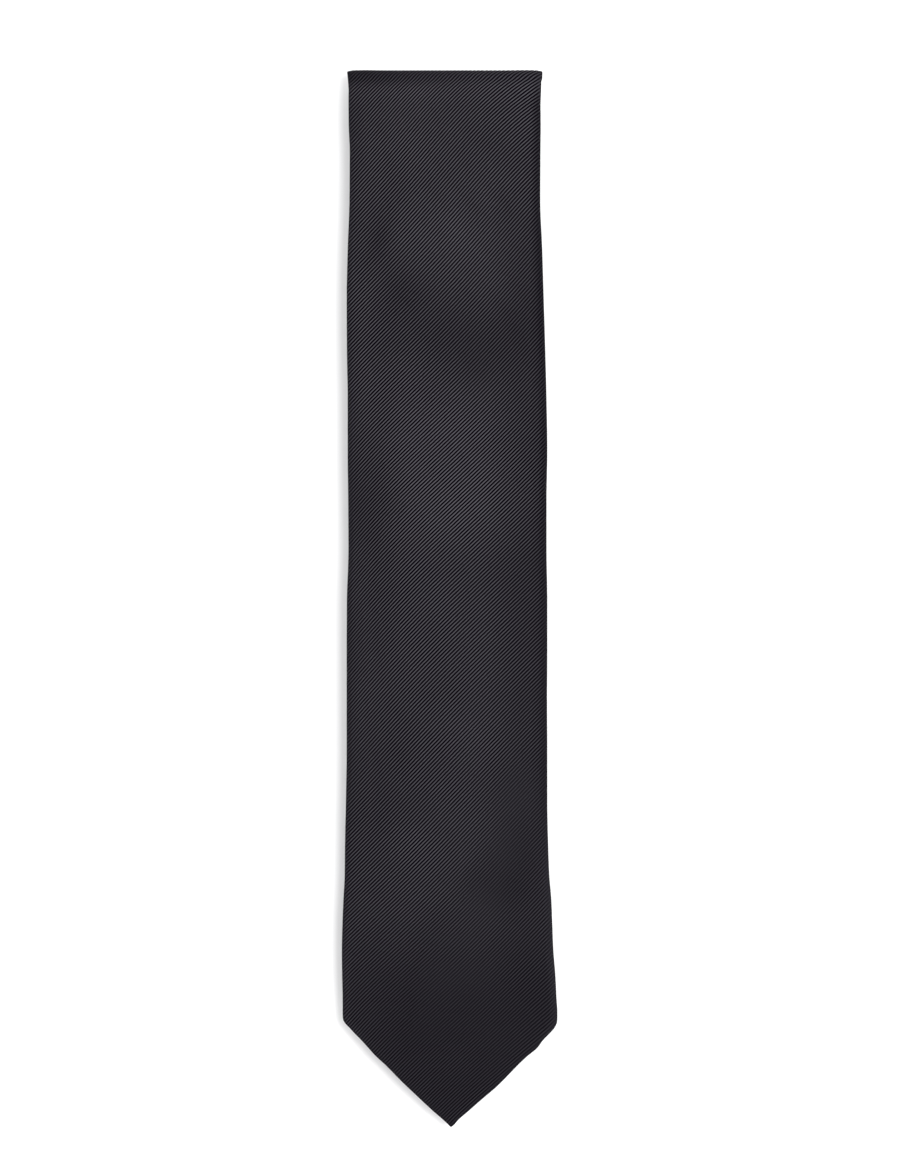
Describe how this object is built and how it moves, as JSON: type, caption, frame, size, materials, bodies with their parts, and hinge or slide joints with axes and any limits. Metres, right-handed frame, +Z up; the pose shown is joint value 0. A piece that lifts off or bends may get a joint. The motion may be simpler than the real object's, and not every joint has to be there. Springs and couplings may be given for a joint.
{
  "type": "necktie",
  "caption": "Dark ribbed twill necktie folded in four and lying flat, wide pointed blade on top, with lined back, keeper loop and narrow tail.",
  "frame": {"origin": "bottom centre of the bounding box, on the surface that the tie lies on", "axes": "+Y from the front blade's point toward the top fold, +X to the right of the front blade seen from its face, +Z up out of its face"},
  "size_m": [0.0852, 0.4187, 0.0143],
  "materials": {
    "shell_twill": "near-black woven twill with a fine diagonal rib, soft silk-like sheen",
    "interlining_wool": "undyed brushed wool interlining, matt",
    "tipping_satin": "black lining satin, smooth",
    "label_cloth": "plain dark woven label, blank",
    "care_label_cloth": "plain off-white label, blank",
    "pale_thread": "undyed sewing thread",
    "dark_thread": "dark sewing thread"
  },
  "bodies": {
    "front_blade": {"blade_shell_lower": "shell_twill", "blade_shell_fold": "shell_twill", "blade_interlining_lower": "interlining_wool", "blade_interlining_fold": "interlining_wool", "blade_tipping": "tipping_satin", "slip_stitch_blade": "dark_thread", "blade_bar_tack": "dark_thread", "keeper_loop": "shell_twill", "keeper_tack_left": "dark_thread", "keeper_tack_right": "dark_thread", "blank_label": "label_cloth", "label_stitch_left": "dark_thread", "label_stitch_right": "dark_thread"},
    "upper_blade": {"blade_shell_upper": "shell_twill", "neck_shell_upper": "shell_twill", "blade_interlining_upper": "interlining_wool", "neck_interlining_upper": "interlining_wool", "blade_neck_seam": "dark_thread", "blade_interlining_join": "pale_thread", "slip_stitch_upper": "dark_thread"},
    "neck": {"neck_shell_fold": "shell_twill", "neck_shell_lower": "shell_twill", "tail_shell_upper": "shell_twill", "neck_interlining_fold": "interlining_wool", "neck_interlining_lower": "interlining_wool", "tail_interlining_upper": "interlining_wool", "neck_tail_seam": "dark_thread", "tail_interlining_join": "pale_thread", "slip_stitch_neck": "dark_thread"},
    "tail": {"tail_shell_fold": "shell_twill", "tail_shell_lower": "shell_twill", "tail_interlining_fold": "interlining_wool", "tail_interlining_lower": "interlining_wool", "tail_tipping": "tipping_satin", "tail_bar_tack": "dark_thread", "slip_stitch_tail": "dark_thread", "care_label": "care_label_cloth", "care_label_stitch": "pale_thread"}
  },
  "joints": [
    {"name": "tail_fold", "type": "hinge", "parent": "neck", "child": "tail", "pos_m": [0, 0.2046, 0.00315], "axis": [1, 0, 0], "range_deg": [0, 179.5], "deforming": ["tail_shell_fold", "tail_interlining_fold"]},
    {"name": "neck_fold", "type": "hinge", "parent": "neck", "child": "upper_blade", "pos_m": [0, -0.1563, 0.00665], "axis": [1, 0, 0], "range_deg": [0, 175], "deforming": ["neck_shell_fold", "neck_interlining_fold"]},
    {"name": "blade_fold", "type": "hinge", "parent": "upper_blade", "child": "front_blade", "pos_m": [0, 0.2056, 0.01065], "axis": [-1, 0, 0], "range_deg": [0, 179.5], "deforming": ["blade_shell_fold", "blade_interlining_fold"]}
  ]
}
